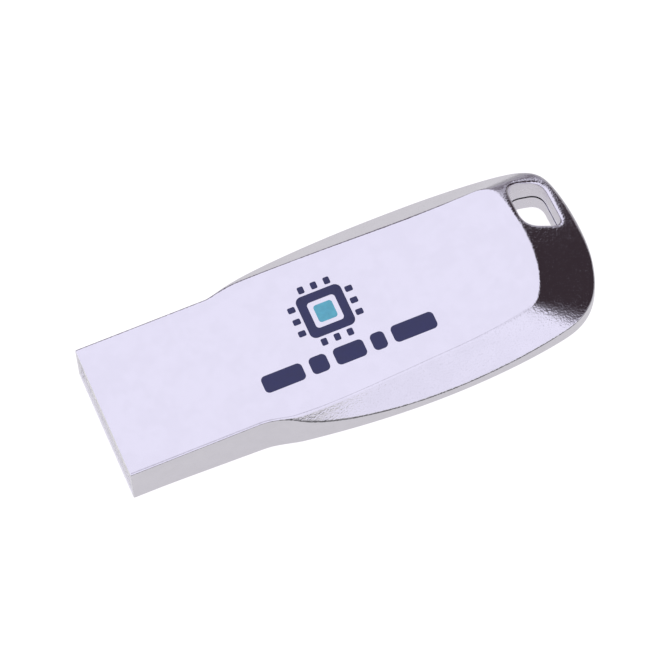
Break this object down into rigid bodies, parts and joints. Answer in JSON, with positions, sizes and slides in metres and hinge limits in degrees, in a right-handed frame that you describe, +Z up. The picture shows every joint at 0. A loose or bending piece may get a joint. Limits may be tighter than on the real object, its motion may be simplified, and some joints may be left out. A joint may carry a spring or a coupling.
{
  "type": "usb flash drive",
  "caption": "Capless flash drive with a standard plug at one end of a flat, bevelled, boat-shaped metal case and a keyring slot at the other.",
  "frame": {"origin": "middle of the bounding box in plan, at the height of the underside", "axes": "+X from the plug's mouth to the keyring end, +Z up out of the flat top, +Y towards the side that has the keyring slot"},
  "size_m": [0.0418, 0.0166, 0.0057],
  "materials": {
    "plated_case": "mirror-bright nickel and chrome plating over die-cast zinc, with a fine cast grain",
    "plated_cover": "bright plating over die-cast zinc, with a fine cast grain",
    "white_insulator": "moulded white thermoplastic",
    "gold_contact": "gold flash over nickel on copper alloy",
    "board_laminate": "green solder mask on glass-fibre laminate",
    "mould_compound": "matt black epoxy mould compound with tinned leads",
    "crystal_can": "nickel-plated lid on a ceramic foot",
    "capacitor_ceramic": "tan ceramic with tinned ends",
    "resistor_ceramic": "black glazed film with tinned ends",
    "ferrite": "grey ferrite with tinned ends",
    "amber_film": "amber polyimide film",
    "grey_foam": "closed-cell foam tape",
    "black_spacer": "moulded black thermoplastic"
  },
  "bodies": {
    "root": {"upper_housing": "plated_case", "lower_cover": "plated_cover", "plug_insulator": "white_insulator", "contact_power": "gold_contact", "contact_data_minus": "gold_contact", "contact_data_plus": "gold_contact", "contact_ground": "gold_contact", "circuit_board": "board_laminate", "controller_chip": "mould_compound", "memory_chip": "mould_compound", "voltage_regulator": "mould_compound", "crystal": "crystal_can", "capacitor_power_input": "capacitor_ceramic", "capacitor_regulator": "capacitor_ceramic", "capacitor_core": "capacitor_ceramic", "capacitor_memory": "capacitor_ceramic", "capacitor_crystal_a": "capacitor_ceramic", "capacitor_crystal_b": "capacitor_ceramic", "resistor_data_minus": "resistor_ceramic", "resistor_data_plus": "resistor_ceramic", "resistor_reference": "resistor_ceramic", "resistor_memory": "resistor_ceramic", "ferrite_bead": "ferrite", "insulation_film_upper": "amber_film", "insulation_film_lower": "amber_film", "adhesive_pad": "grey_foam", "rear_spacer": "black_spacer"}
  },
  "joints": []
}
